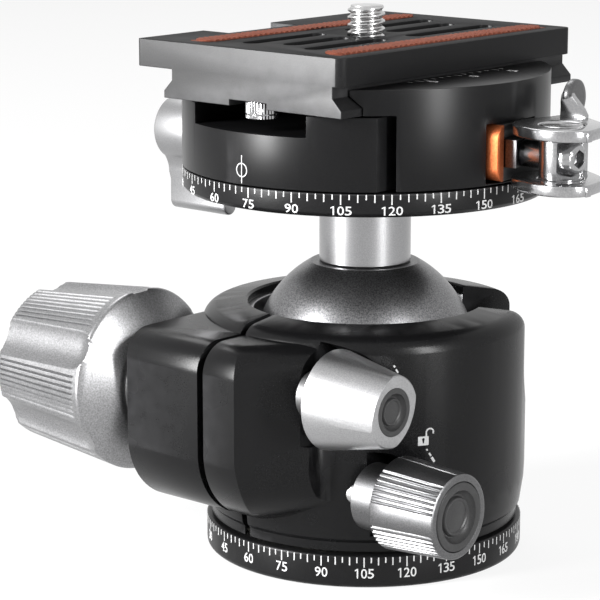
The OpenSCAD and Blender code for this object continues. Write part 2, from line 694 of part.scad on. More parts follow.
module plate() color("#232323") difference() {
  union() {
    translate([0, plate_front + plate_len, 0]) rotate([90, 0, 0]) linear_extrude(plate_len) plate_section();
    flange_wing(plate_front, -13);
    flange_wing(4, plate_front + plate_len);
  }
  for (x = [-6.6, 6.6]) {
    slot(x, -22.5, -3.2, 3.2);
    slot(x, 3, 25.5, 3.2);
  }
  slot(0, -20, -5, 3.4);
  slot(0, 6, 23, 3.4);
  translate([0, 0, plate_z - 1]) cylinder(r = camera_screw_r + shaft_fit, h = 20);
  translate([0, 0, plate_z - 1]) cylinder(r = 7.5, h = 4);
  for (x = [-strip_x, strip_x])
    translate([x - strip_w / 2, strip_y0, plate_top - 1]) cube([strip_w, strip_y1 - strip_y0, 2]);
  translate([-4.5, plate_front - 1, plate_z - 1]) cube([8, 6.7, 2]);
  translate([stop_x, stop_y, plate_z]) cylinder(r = 1.2, h = 3.9);
}

module rubber_strips() color("#9a4028") for (x = [-strip_x, strip_x])
  translate([x - strip_w / 2, strip_y0, plate_top - 1]) cube([strip_w, strip_y1 - strip_y0, 1.35]);

module stop_screw() color("#d8d8d8") translate([stop_x, stop_y, 0]) {
  translate([0, 0, plate_z - 1.9]) cylinder(r = 2.7, h = 2.9);
  translate([0, 0, plate_z + 0.9]) cylinder(r = 1.2, h = 3);
}

// ---- Camera screw ----
camera_shank_r = 2.6;

module camera_screw() color("#c9cbcd") difference() {
  union() {
    translate([0, 0, plate_z + 1]) cylinder(r = camera_shank_r, h = plate_t - 1);
    translate([0, 0, plate_top]) cylinder(r = camera_screw_r, h = camera_screw_h);
    translate([0, 0, plate_z + 0.3]) cylinder(r = 7, h = 2.4);
  }
  translate([-0.6, -8, plate_z - 1]) cube([1.2, 16, 2.4]);
}

module screw_clip() color("silver") difference() {
  translate([0, 0, plate_z + 2.7]) cylinder(r = 5, h = 0.3);
  translate([0, 0, plate_z + 2]) cylinder(r = camera_shank_r + shaft_fit, h = 3);
}
base_dial();
base_pad();
tripod_bushing();
base_screws();
pan_spindle();
spindle_ring();
pan_washer();
housing();
rim_liner();
ball_seat();
clamp_nut();
knob_washer();
pan_shoe();
clamp_screw();
main_knob();
knob_collar();
friction_screw();
friction_knob();
friction_insert();
pan_screw();
pan_knob();
pan_insert();
brake_pad();
ball();
stem();
head_dial();
head_screw();
head_bearing();
clamp_body();
guide_pins();
draw_bolt();
bolt_nut();
pivot_pin();
head_brake();
jaw();
saddle();
pressure_block();
jaw_springs();
pan_lever();
lever_screw();
clamp_lever();
plate();
rubber_strips();
stop_screw();
camera_screw();
screw_clip();
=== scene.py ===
import math
import bpy
from mathutils import Matrix, Vector


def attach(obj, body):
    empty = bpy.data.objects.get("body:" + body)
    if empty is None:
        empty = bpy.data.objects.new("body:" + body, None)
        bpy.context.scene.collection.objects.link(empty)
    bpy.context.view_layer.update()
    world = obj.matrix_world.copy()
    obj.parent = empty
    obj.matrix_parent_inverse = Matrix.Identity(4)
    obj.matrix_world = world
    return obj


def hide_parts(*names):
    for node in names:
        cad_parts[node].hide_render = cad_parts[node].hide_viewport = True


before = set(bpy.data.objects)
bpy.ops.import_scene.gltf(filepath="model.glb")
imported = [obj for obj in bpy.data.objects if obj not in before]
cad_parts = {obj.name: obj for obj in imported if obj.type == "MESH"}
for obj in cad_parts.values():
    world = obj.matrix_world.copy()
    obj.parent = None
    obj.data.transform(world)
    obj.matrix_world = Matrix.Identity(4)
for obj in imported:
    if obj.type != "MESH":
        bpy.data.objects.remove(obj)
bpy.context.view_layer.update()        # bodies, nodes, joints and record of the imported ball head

mm = 0.001
scene = bpy.context.scene
scene.view_settings.view_transform = "Standard"

# small tools


def deselect():
    if bpy.context.mode != "OBJECT":
        bpy.ops.object.mode_set(mode="OBJECT")
    bpy.ops.object.select_all(action="DESELECT")


def pick(piece):
    deselect()
    piece.select_set(True)
    bpy.context.view_layer.objects.active = piece
    return piece


def newest(name):  # the object that a primitive has just made
    bpy.context.object.name = name
    return bpy.context.object


def settle(piece):  # place and turn go into the mesh, so the object sits at the origin
    pick(piece)
    bpy.ops.object.transform_apply(location=True, rotation=True, scale=True)
    return piece


def smooth(piece, angle=35):
    pick(piece)
    bpy.ops.object.shade_smooth_by_angle(angle=math.radians(angle))
    return piece


def editAll():
    bpy.ops.object.mode_set(mode="EDIT")
    bpy.ops.mesh.select_all(action="SELECT")


def closeSkin():  # all faces look outward at the end of an edit
    bpy.ops.mesh.select_all(action="SELECT")
    bpy.ops.mesh.normals_make_consistent(inside=False)
    bpy.ops.object.mode_set(mode="OBJECT")


def tidyMesh(piece, gap=0.002):
    pick(piece)
    editAll()
    bpy.ops.mesh.remove_doubles(threshold=gap * mm)
    closeSkin()
    return piece


def addModifier(piece, kind, **values):
    pick(piece)
    modifier = piece.modifiers.new(kind.title(), kind)
    for key, value in values.items():
        setattr(modifier, key, value)
    bpy.ops.object.modifier_apply(modifier=modifier.name)
    return piece


def softEdges(piece, width=0.3, segments=3, angle=35):
    addModifier(piece, "BEVEL", width=width * mm, segments=segments, limit_method="ANGLE",
                angle_limit=math.radians(angle))
    return smooth(piece, angle)


def cut(piece, cutter, operation="DIFFERENCE"):
    addModifier(piece, "BOOLEAN", object=cutter, operation=operation, solver="EXACT")
    bpy.data.objects.remove(cutter, do_unlink=True)
    return piece


def joined(pieces, name):
    deselect()
    for piece in pieces:
        piece.select_set(True)
    bpy.context.view_layer.objects.active = pieces[0]
    if len(pieces) > 1:
        bpy.ops.object.join()
    pieces[0].name = name
    return pieces[0]


def turned(name, stations, sides=128, axis="Z", at=(0, 0, 0)):
    # stations are pairs of height along the axis and radius, in millimetres, from the first face on
    deselect()
    height, radius = stations[0]
    start = height
    bpy.ops.mesh.primitive_circle_add(vertices=sides, radius=radius * mm, fill_type="NGON")
    piece = newest(name)
    editAll()
    for nextHeight, nextRadius in stations[1:]:
        bpy.ops.mesh.extrude_region_move(TRANSFORM_OT_translate={"value": (0, 0, (nextHeight - height) * mm)})
        ratio = nextRadius / radius
        if abs(ratio - 1) > 1e-6:
            bpy.ops.transform.resize(value=(ratio, ratio, 1), center_override=(0, 0, 0))
        height, radius = nextHeight, nextRadius
    closeSkin()
    turn = math.pi / 2 if axis == "X" else 0
    shift = Vector((0, 0, start * mm))
    shift.rotate(Matrix.Rotation(turn, 3, "Y"))
    piece.rotation_euler = (0, turn, 0)
    piece.location = shift + Vector(at) * mm
    return settle(piece)


def outlinePrism(name, points, low, high, axis="Z"):
    # a ring of corners is laid on the outline, in the plane across the axis, and extruded along it
    def place(a, b, along):
        return (along, a, b) if axis == "X" else (a, b, along)

    deselect()
    bpy.ops.mesh.primitive_circle_add(vertices=len(points), radius=mm, fill_type="NGON")
    piece = newest(name)
    for vertex, (a, b) in zip(piece.data.vertices, points):
        vertex.co = Vector(place(a, b, low)) * mm
    editAll()
    step = Vector(place(0, 0, high - low)) * mm
    bpy.ops.mesh.extrude_region_move(TRANSFORM_OT_translate={"value": step})
    closeSkin()
    return piece


def block(name, low, high):
    deselect()
    middle = [(a + b) / 2 * mm for a, b in zip(low, high)]
    bpy.ops.mesh.primitive_cube_add(size=1, location=middle)
    piece = newest(name)
    piece.scale = [(b - a) * mm for a, b in zip(low, high)]
    return settle(piece)


def rod(name, radius, start, end, axis="Z", at=(0, 0), sides=96):
    deselect()
    middle = (start + end) / 2
    place, turn = ((middle, *at), math.pi / 2) if axis == "X" else ((*at, middle), 0)
    bpy.ops.mesh.primitive_cylinder_add(vertices=sides, radius=radius * mm, depth=(end - start) * mm,
                                        location=Vector(place) * mm, rotation=(0, turn, 0))
    piece = newest(name)
    return settle(piece)


def arc(centre, radius, start, end, steps):
    angles = [math.radians(start + (end - start) * step / steps) for step in range(steps + 1)]
    return [(centre[0] + radius * math.cos(angle), centre[1] + radius * math.sin(angle)) for angle in angles]


def copied(piece):
    other = piece.copy()
    other.data = piece.data.copy()
    bpy.context.collection.objects.link(other)
    return other


def copyOfNode(name, node):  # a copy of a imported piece, merged so that its edges can be rounded
    piece = copied(bpy.data.objects[node])
    piece.name = name
    piece.parent = None
    piece.matrix_world = Matrix.Identity(4)
    for key in list(piece.keys()):
        del piece[key]
    return tidyMesh(piece)


def paint(piece, finish):
    piece.data.materials.clear()
    piece.data.materials.append(finishes[finish])


def finishPiece(piece, body, slot, finish, *nodes):
    paint(piece, finish)
    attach(piece, body)
    if nodes:
        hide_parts(*nodes)
    return piece


print("tools ready")

# shared shader effects

skinDepth = 0.00003  # metres between the pits and the tops of a blasted or turned skin
noiseRange = (0.3, 0.7)  # where nearly all values of a noise lie


def newGroup(name, inputs, outputs):
    group = bpy.data.node_groups.new(name, "ShaderNodeTree")
    for label, value in inputs:
        socket = group.interface.new_socket(label, in_out="INPUT", socket_type="NodeSocketFloat")
        socket.default_value = value
    for label, kind in outputs:
        group.interface.new_socket(label, in_out="OUTPUT", socket_type=kind)
    entry = group.nodes.new("NodeGroupInput")
    leave = group.nodes.new("NodeGroupOutput")
    return group, entry, leave


def addNode(tree, kind, group=None, **inputs):
    node = tree.nodes.new("ShaderNode" + kind)
    if group:
        node.node_tree = group
    for label, value in inputs.items():
        node.inputs[label].default_value = value
    return node


def mathNode(tree, operation, *values):
    node = addNode(tree, "Math")
    node.operation = operation
    for socket, value in zip(node.inputs, values):
        if isinstance(value, (int, float)):
            socket.default_value = value
        else:
            tree.links.new(value, socket)
    return node.outputs[0]


def buildBlastGroup():  # the fine pitted skin of blasted and anodised metal
    group, entry, leave = newGroup(
        "blastedSkin", [("Grain", 5000), ("Depth", 0.2), ("Cloud", 60)],
        [("Speck", "NodeSocketFloat"), ("Cloudiness", "NodeSocketFloat"), ("Normal", "NodeSocketVector")])
    place = addNode(group, "TexCoord")
    speck = addNode(group, "TexNoise", Detail=2)
    cloud = addNode(group, "TexNoise", Detail=3)
    bump = addNode(group, "Bump", Distance=skinDepth)
    link = group.links.new
    link(place.outputs["Object"], speck.inputs["Vector"])
    link(place.outputs["Object"], cloud.inputs["Vector"])
    link(entry.outputs["Grain"], speck.inputs["Scale"])
    link(entry.outputs["Cloud"], cloud.inputs["Scale"])
    link(entry.outputs["Depth"], bump.inputs["Strength"])
    link(speck.outputs["Fac"], bump.inputs["Height"])
    link(speck.outputs["Fac"], leave.inputs["Speck"])
    link(cloud.outputs["Fac"], leave.inputs["Cloudiness"])
    link(bump.outputs["Normal"], leave.inputs["Normal"])
    return group


def buildTurnedGroup():  # the fine rings that a lathe leaves around the Z axis
    group, entry, leave = newGroup("turnedRings", [("Pitch", 9000), ("Depth", 0.15)],
                                   [("Ring", "NodeSocketFloat"), ("Normal", "NodeSocketVector")])
    place = addNode(group, "TexCoord")
    parts = addNode(group, "SeparateXYZ")
    ring = addNode(group, "TexNoise", Detail=2)
    ring.noise_dimensions = "1D"
    bump = addNode(group, "Bump", Distance=skinDepth)
    link = group.links.new
    link(place.outputs["Object"], parts.inputs["Vector"])
    link(parts.outputs["Z"], ring.inputs["W"])
    link(entry.outputs["Pitch"], ring.inputs["Scale"])
    link(entry.outputs["Depth"], bump.inputs["Strength"])
    link(ring.outputs["Fac"], bump.inputs["Height"])
    link(ring.outputs["Fac"], leave.inputs["Ring"])
    link(bump.outputs["Normal"], leave.inputs["Normal"])
    return group


def buildWearGroup():  # a mask of rubbed corners, from how sharply the surface bends
    group, entry, leave = newGroup("rubbedCorners", [("Start", 0.53), ("End", 0.6)],
                                   [("Mask", "NodeSocketFloat")])
    shape = addNode(group, "NewGeometry")
    place = addNode(group, "TexCoord")
    patches = addNode(group, "TexNoise", Scale=400)
    spread = addNode(group, "MapRange")
    link = group.links.new
    link(place.outputs["Object"], patches.inputs["Vector"])
    link(shape.outputs["Pointiness"], spread.inputs["Value"])
    link(entry.outputs["Start"], spread.inputs["From Min"])
    link(entry.outputs["End"], spread.inputs["From Max"])
    link(mathNode(group, "MULTIPLY", spread.outputs["Result"], patches.outputs["Fac"]), leave.inputs["Mask"])
    return group


blastGroup = buildBlastGroup()
turnedGroup = buildTurnedGroup()
wearGroup = buildWearGroup()


def mixColours(tree, factor, first, second):  # the first may be a colour or the socket of one
    mix = addNode(tree, "Mix")
    mix.data_type = "RGBA"
    if isinstance(first, tuple):
        mix.inputs["A"].default_value = (*first, 1)
    else:
        tree.links.new(first, mix.inputs["A"])
    mix.inputs["B"].default_value = (*second, 1)
    tree.links.new(factor, mix.inputs["Factor"])
    return mix.outputs["Result"]


def spreadValue(tree, value, low, high):
    node = addNode(tree, "MapRange")
    node.inputs["From Min"].default_value, node.inputs["From Max"].default_value = noiseRange
    node.inputs["To Min"].default_value = low
    node.inputs["To Max"].default_value = high
    tree.links.new(value, node.inputs["Value"])
    return node.outputs["Result"]


def newMaterial(name, metallic, specular=0.5):
    material = bpy.data.materials.new(name)
    material.use_nodes = True
    shader = material.node_tree.nodes["Principled BSDF"]
    shader.inputs["Metallic"].default_value = metallic
    shader.inputs["Specular IOR Level"].default_value = specular
    return material, material.node_tree, shader


def blasted(name, dark, light, rough, grain, depth, metallic=1.0, specular=0.5, worn=None):
    material, tree, shader = newMaterial(name, metallic, specular)
    skin = addNode(tree, "Group", blastGroup, Grain=grain, Depth=depth)
    colour = mixColours(tree, spreadValue(tree, skin.outputs["Speck"], 0, 1), dark, light)
    if worn:
        wear = addNode(tree, "Group", wearGroup)
        colour = mixColours(tree, wear.outputs["Mask"], colour, worn)
    tree.links.new(colour, shader.inputs["Base Color"])
    tree.links.new(spreadValue(tree, skin.outputs["Cloudiness"], *rough), shader.inputs["Roughness"])
    tree.links.new(skin.outputs["Normal"], shader.inputs["Normal"])
    return material


def turnedMetal(name, dark, light, rough, pitch, depth):
    material, tree, shader = newMaterial(name, 1.0)
    rings = addNode(tree, "Group", turnedGroup, Pitch=pitch, Depth=depth)
    tree.links.new(mixColours(tree, rings.outputs["Ring"], dark, light), shader.inputs["Base Color"])
    tree.links.new(spreadValue(tree, rings.outputs["Ring"], *rough), shader.inputs["Roughness"])
    tree.links.new(rings.outputs["Normal"], shader.inputs["Normal"])
    return material


def grey(level, blue=None):  # a grey with a trace of blue
    return level, level, blue or level


# a colour runs from dark to light with the grain, and the roughness over its pair
coatedFinishes = {  # no metal shows
    "dialBlack": dict(
        dark=grey(0.003, 0.0032), light=grey(0.006, 0.0063), rough=(0.32, 0.4), grain=6000, depth=0.12,
        specular=0.14, worn=grey(0.03, 0.031)),
    "clampBlack": dict(
        dark=grey(0.002, 0.0022), light=grey(0.0045, 0.0048), rough=(0.28, 0.34), grain=6000, depth=0.1,
        specular=0.15, worn=grey(0.03, 0.031)),
    "housingBlack": dict(
        dark=grey(0.0025, 0.0027), light=grey(0.005, 0.0053), rough=(0.24, 0.3), grain=4500, depth=0.08,
        specular=0.15, worn=grey(0.02, 0.021)),
    "plateBlack": dict(
        dark=grey(0.004, 0.0042), light=grey(0.009, 0.0094), rough=(0.4, 0.48), grain=5000, depth=0.2,
        specular=0.07, worn=grey(0.03, 0.031)),
    # painted light: a lighter copy of the plate's black for its front faces, which face the left strip lamp
    "plateFrontPaintedLight": dict(
        dark=grey(0.016, 0.0163), light=grey(0.03, 0.0305), rough=(0.4, 0.48), grain=5000, depth=0.2,
        specular=0.4, worn=grey(0.06, 0.062)),
    # painted shade: a darker copy of the plate's black for its upward faces, which the lamps leave dark
    "plateTopPaintedShade": dict(
        dark=grey(0.004, 0.0043), light=grey(0.012, 0.0123), rough=(0.5, 0.6), grain=5000, depth=0.4,
        specular=0.03, worn=grey(0.03, 0.031)),
    "polymer": dict(
        dark=(0.7, 0.68, 0.6), light=(0.78, 0.76, 0.68), rough=(0.4, 0.5), grain=3000, depth=0.1),
    "insertBlack": dict(
        dark=grey(0.012, 0.0123), light=grey(0.026, 0.0265), rough=(0.34, 0.44), grain=6000, depth=0.1,
        specular=0.35),
    "rubberBrown": dict(
        dark=(0.075, 0.018, 0.009), light=(0.14, 0.036, 0.018), rough=(0.6, 0.75), grain=5000, depth=0.3,
        specular=0.2),
    "rubberBlack": dict(
        dark=grey(0.01), light=grey(0.02), rough=(0.7, 0.85), grain=4000, depth=0.3, specular=0.2),
    "printWhite": dict(
        dark=grey(0.34), light=grey(0.44), rough=(0.5, 0.6), grain=6000, depth=0.05, specular=0.3),
}
blastedFinishes = {
    "knobSilver": dict(
        dark=grey(0.2, 0.205), light=grey(0.34, 0.345), rough=(0.34, 0.42), grain=3800, depth=0.35),
    "smallKnobSilver": dict(
        dark=grey(0.3, 0.305), light=grey(0.4, 0.405), rough=(0.34, 0.4), grain=5000, depth=0.2),
    "panKnobSilver": dict(
        dark=grey(0.1, 0.102), light=grey(0.16, 0.163), rough=(0.34, 0.4), grain=5000, depth=0.2),
    "leverSilver": dict(
        dark=grey(0.27, 0.275), light=grey(0.34, 0.345), rough=(0.34, 0.4), grain=6000, depth=0.12),
    "ballGrey": dict(
        dark=grey(0.09, 0.093), light=grey(0.25, 0.255), rough=(0.32, 0.38), grain=4200, depth=0.3),
    "stemSilver": dict(
        dark=grey(0.27, 0.275), light=grey(0.34, 0.345), rough=(0.26, 0.34), grain=6000, depth=0.06),
    "polished": dict(
        dark=grey(0.5, 0.51), light=grey(0.56, 0.57), rough=(0.1, 0.16), grain=2500, depth=0.03),
    "leverPolish": dict(
        dark=grey(0.32, 0.325), light=grey(0.4, 0.405), rough=(0.16, 0.22), grain=3500, depth=0.05),
    "thumbGrey": dict(
        dark=grey(0.09, 0.092), light=grey(0.13, 0.132), rough=(0.3, 0.36), grain=3500, depth=0.08),
    "darkSteel": dict(
        dark=grey(0.06, 0.062), light=grey(0.11, 0.113), rough=(0.3, 0.4), grain=4000, depth=0.15),
    "copper": dict(
        dark=(0.4, 0.1, 0.035), light=(0.55, 0.17, 0.065), rough=(0.48, 0.58), grain=3500, depth=0.25),
}
turnedFinishes = {
    "steel": dict(dark=grey(0.4), light=grey(0.54), rough=(0.22, 0.32), pitch=5000, depth=0.15),
    "brass": dict(
        dark=(0.62, 0.48, 0.22), light=(0.74, 0.6, 0.3), rough=(0.26, 0.36), pitch=5000, depth=0.15),
}
finishes = {name: blasted(name, metallic=0.0, **values) for name, values in coatedFinishes.items()}
finishes |= {name: blasted(name, **values) for name, values in blastedFinishes.items()}
finishes |= {name: turnedMetal(name, **values) for name, values in turnedFinishes.items()}
print("finishes ready")

# camera, floor and light

cameraSettings = {"turn": 39.7, "distance": 412.8, "height": 132.96, "yaw": 1.53, "pitch": 12.38,
                  "lens": 148.8, "sensor": 36, "nearest": 10}  # millimetres and degrees
studio = {"ambient": 0.2, "floorSize": 6.0, "floorDrop": 0.0001, "paperLevel": 0.86, "keepShadow": 0.15}


def placeCamera(settings):
    data = bpy.data.cameras.new("studioCamera")
    data.lens = settings["lens"]
    data.sensor_width = settings["sensor"]
    data.clip_start = settings["nearest"] * mm
    camera = bpy.data.objects.new("studioCamera", data)
    bpy.context.collection.objects.link(camera)
    turn = math.radians(settings["turn"])
    camera.location = Vector((math.sin(turn) * settings["distance"], -math.cos(turn) * settings["distance"],
                              settings["height"])) * mm
    camera.rotation_euler = (math.radians(90 - settings["pitch"]), 0, turn + math.radians(settings["yaw"]))
    scene.camera = camera


def seenMask(tree):  # 1 for the rays that should find the white background
    path = addNode(tree, "LightPath")
    seen = mathNode(tree, "MAXIMUM", path.outputs["Is Camera Ray"], path.outputs["Is Glossy Ray"])
    return mathNode(tree, "MAXIMUM", seen, path.outputs["Is Transmission Ray"])


def buildWorld():
    world = bpy.data.worlds.new("studioWorld")
    scene.world = world
    world.use_nodes = True
    tree = world.node_tree
    tree.nodes.clear()
    output = addNode(tree, "OutputWorld")
    light = addNode(tree, "Background", Color=(1, 1, 1, 1), Strength=studio["ambient"])
    backdrop = addNode(tree, "Background", Color=(1, 1, 1, 1))
    mix = addNode(tree, "MixShader")
    tree.links.new(seenMask(tree), mix.inputs["Fac"])
    tree.links.new(light.outputs["Background"], mix.inputs[1])
    tree.links.new(backdrop.outputs["Background"], mix.inputs[2])
    tree.links.new(mix.outputs["Shader"], output.inputs["Surface"])


def buildFloor():
    deselect()
    bpy.ops.mesh.primitive_plane_add(size=studio["floorSize"], location=(0, 0, -studio["floorDrop"]))
    floor = bpy.context.object
    floor.name = "studioFloor"
    material = bpy.data.materials.new("floorWhite")
    material.use_nodes = True
    tree = material.node_tree
    tree.nodes.clear()
    output = addNode(tree, "OutputMaterial")
    paper = addNode(tree, "BsdfDiffuse", Color=(*grey(studio["paperLevel"]), 1))
    glow = addNode(tree, "Emission")
    mix = addNode(tree, "MixShader")
    shown = mathNode(tree, "MULTIPLY", seenMask(tree), 1 - studio["keepShadow"])
    tree.links.new(shown, mix.inputs["Fac"])
    tree.links.new(paper.outputs["BSDF"], mix.inputs[1])
    tree.links.new(glow.outputs["Emission"], mix.inputs[2])
    tree.links.new(mix.outputs["Shader"], output.inputs["Surface"])
    floor.data.materials.append(material)


lampTarget = (0, 0, 0.05)  # all lamps look at the middle of the head
lamps = {  # place in metres, size in metres, power in watts
    "leftStrip": {"place": (-0.36, -0.81, 0.27), "size": (0.2, 0.7), "power": 33},
    "rightStrip": {"place": (0.87, -0.09, 0.27), "size": (0.16, 0.7), "power": 12},
    "rearFill": {"place": (-0.45, 0.3, 0.8), "size": (0.4, 0.4), "power": 2.5},
}


def buildLamps():
    for name, lamp in lamps.items():
        data = bpy.data.lights.new(name, "AREA")
        data.shape = "RECTANGLE"
        data.size, data.size_y = lamp["size"]
        data.energy = lamp["power"]
        light = bpy.data.objects.new(name, data)
        bpy.context.collection.objects.link(light)
        light.location = lamp["place"]
        aim = Vector(lampTarget) - Vector(lamp["place"])
        light.rotation_euler = aim.to_track_quat("-Z", "Y").to_euler()


placeCamera(cameraSettings)
buildWorld()
buildFloor()
buildLamps()
print("camera, floor and light ready")

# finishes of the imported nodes

nodeFinishes = {
    "dialBlack": ["base_dial", "head_dial"],
    "clampBlack": ["clamp_body", "jaw"],
    "plateBlack": ["plate"],
    "housingBlack": ["housing"],
    "knobSilver": ["main_knob"],
    "smallKnobSilver": ["friction_knob", "pan_knob"],
    "leverSilver": ["pan_lever"],
    "ballGrey": ["ball"],
    "stemSilver": ["stem", "rim_liner"],
    "steel": ["tripod_bushing", "base_screws", "pan_spindle", "clamp_nut", "knob_washer", "clamp_screw",
              "friction_screw", "pan_screw", "head_screw", "guide_pins", "bolt_nut", "jaw_springs",
              "lever_screw", "screw_clip", "camera_screw", "stop_screw"],
    "polished": ["clamp_lever", "draw_bolt", "pivot_pin"],
    "copper": ["saddle"],
    "brass": ["spindle_ring", "pan_shoe", "head_bearing", "head_brake", "pressure_block"],
    "polymer": ["pan_washer", "ball_seat", "brake_pad"],
    "insertBlack": ["knob_collar", "friction_insert", "pan_insert"],
    "rubberBrown": ["rubber_strips"],
    "rubberBlack": ["base_pad"],
}
for finish, nodes in nodeFinishes.items():
    for node in nodes:
        paint(bpy.data.objects[node], finish)
print("packed nodes finished")

# shaping tools for turned and wrapped pieces


def movedFromAxis(piece, axis, rule):  # gives every vertex a new distance from an axis along X
    for vertex in piece.data.vertices:
        y, z = vertex.co.y / mm - axis[0], vertex.co.z / mm - axis[1]
        radius = math.hypot(y, z)
        if radius > 0.01:
            ratio = rule(vertex.co.x / mm, radius, math.degrees(math.atan2(z, y))) / radius
            vertex.co.y, vertex.co.z = (axis[0] + y * ratio) * mm, (axis[1] + z * ratio) * mm


def aside(angle, middle):  # how far an angle lies from a middle one, within half a turn
    return (angle - middle + 180) % 360 - 180


def wrapped(piece, radius, angle, height):
    # a flat drawing is laid round the Z axis: X runs along, Y up and Z outward
    for vertex in piece.data.vertices:
        along, up, out = vertex.co
        turn = math.radians(angle) + along / (radius * mm)
        vertex.co = Vector(((radius * mm + out) * math.cos(turn), (radius * mm + out) * math.sin(turn),
                            height * mm + up))
    return piece


def turnedCopies(piece, angles, name):  # copies of a piece turned about the Z axis, joined
    copies = []
    for angle in angles:
        other = copied(piece)
        other.rotation_euler = (0, 0, math.radians(angle))
        copies.append(settle(other))
    bpy.data.objects.remove(piece, do_unlink=True)
    return joined(copies, name)


# degree marks of the two dials

baseMarks = {"radius": 27.1, "top": 5.34, "zero": -155, "numberTop": 3.42, "numberHeight": 1.62,
             "stretch": 0.9, "tickLengths": (1.68, 0.92, 1.32, 0.92, 1.32, 0.92), "tickWidth": 0.2}
headMarks = {"radius": 30.8, "top": 65.92, "zero": -162.5, "numberTop": 64.05, "numberHeight": 1.4,
             "stretch": 1.12, "tickLengths": (1.62, 0.82, 1.24, 0.82, 1.24, 0.82), "tickWidth": 0.2}
dialSteps = {"number": 15, "tick": 2.5, "sunk": 0.06}  # degrees between numbers and between ticks
digitShape = {"fullCell": (0.05, 0.68), "one": (0.36, 0.15), "pitch": 0.777, "bold": 0.006,
              "flag": ((0.14, 0.72), (0.14, 0.86), (0.4, 1.0), (0.4, 0.86))}
markThickness = 0.03


def printed(name, pieces, body):
    finishPiece(tidyMesh(joined(pieces, name), 0.001), body, "polymer", "printWhite")


def drawDigit(digit, height, stretch):  # a thin mesh, with the left lower corner of its cell at the origin
    bpy.ops.object.text_add(location=(0, 0, 0))
    piece = bpy.context.object
    piece.data.body = digit
    piece.data.size = 1
    piece.data.extrude = 0.01
    piece.data.resolution_u = 4
    piece.data.offset = digitShape["bold"]
    bpy.ops.object.convert(target="MESH")
    places = [vertex.co.copy() for vertex in piece.data.vertices]
    left, right = min(p.x for p in places), max(p.x for p in places)
    low, high = min(p.y for p in places), max(p.y for p in places)
    start, width = digitShape["one" if digit == "1" else "fullCell"]
    for vertex in piece.data.vertices:
        across = start + (vertex.co.x - left) / (right - left) * width
        up = (vertex.co.y - low) / (high - low)
        level = math.copysign(markThickness * mm, vertex.co.z)
        vertex.co = (across * height * stretch * mm, up * height * mm, level)
    if digit == "1":
        corners = [(x * height * stretch, y * height) for x, y in digitShape["flag"]]
        flag = outlinePrism("flag", corners, -markThickness, markThickness)
        piece = joined([piece, flag], "digit")
    return piece


def drawNumber(text, marks, angle):
    cell = digitShape["pitch"] * marks["numberHeight"] * marks["stretch"] * mm
    pieces = []
    for place, digit in enumerate(text):
        piece = drawDigit(digit, marks["numberHeight"], marks["stretch"])
        piece.data.transform(Matrix.Translation(((place - len(text) / 2) * cell, 0, 0)))
        pieces.append(piece)
    number = joined(pieces, "number" + text)
    return wrapped(number, marks["radius"], angle, marks["numberTop"] - marks["numberHeight"])


def buildDialMarks(name, marks, body):
    radius, top, half = marks["radius"], marks["top"], marks["tickWidth"] / 2
    ticks = []
    for step, length in enumerate(marks["tickLengths"]):
        tick = block("tick", (radius - dialSteps["sunk"], -half, top - length),
                     (radius + markThickness, half, top))
        tick.rotation_euler = (0, 0, math.radians(step * dialSteps["tick"]))
        ticks.append(settle(tick))
    group = joined(ticks, "tickGroup")
    values = range(0, 360, dialSteps["number"])
    ring = turnedCopies(group, [marks["zero"] + value for value in values], name + "Ticks")
    numbers = [drawNumber(str(value), marks, marks["zero"] + value) for value in values]
    printed(name, [ring] + numbers, body)


buildDialMarks("baseDialMarks", baseMarks, "base")
buildDialMarks("headDialMarks", headMarks, "stem")
print("dial marks ready")

# main knob

mainKnob = {"axis": (-27, 29.4), "root": -22.3, "rootRadius": 8.9, "shoulder": -26.4,
            "shoulderRadius": 15.65, "outer": -48.9, "outerRadius": 13.55, "bore": 3.2,
            "firstFlute": 92.5, "fluteStep": 60, "fluteRadius": 5, "fluteOut": 3.4, "fluteStart": -2.8,
            "fluteSoftness": 0.25, "grooves": 8, "groovePitch": 3.7, "grooveHalf": 0.85,
            "grooveDepth": 0.34, "grooveStart": -1.5, "grooveFade": 0.35}


def mainKnobRadius(x, radius, angle):  # six flutes, and between them ribs with fine grooves
    knob, step = mainKnob, mainKnob["fluteStep"]
    ribEnd = knob["shoulder"] + knob["grooveStart"]
    if x < ribEnd and radius > knob["outerRadius"] - 0.9:
        fade = min(1, (ribEnd - x) / knob["grooveFade"])
        rib = aside(angle, knob["firstFlute"] + step / 2) % step
        rib = rib - step if rib > step / 2 else rib
        for groove in range(knob["grooves"]):
            away = abs(rib - (groove - (knob["grooves"] - 1) / 2) * knob["groovePitch"])
            if away < knob["grooveHalf"]:
                radius -= fade * knob["grooveDepth"] * (1 - away / knob["grooveHalf"])
    slope = (knob["shoulderRadius"] - knob["outerRadius"]) / (knob["shoulder"] - knob["outer"])
    centre = knob["shoulderRadius"] + knob["fluteOut"] - slope * (knob["shoulder"] - x)
    flute = (angle - knob["firstFlute"] + step / 2) % step - step / 2
    beyond = x - (knob["shoulder"] + knob["fluteStart"])
    reach = knob["fluteRadius"] ** 2 - max(0, beyond) ** 2
    if reach > 0:
        span = reach - (centre * math.sin(math.radians(flute))) ** 2
        if span > 0:
            floor = centre * math.cos(math.radians(flute)) - math.sqrt(span)
            softness = knob["fluteSoftness"]
            blend = max(softness - abs(radius - floor), 0) / softness
            radius = min(radius, floor) - blend * blend * softness / 4
    return radius


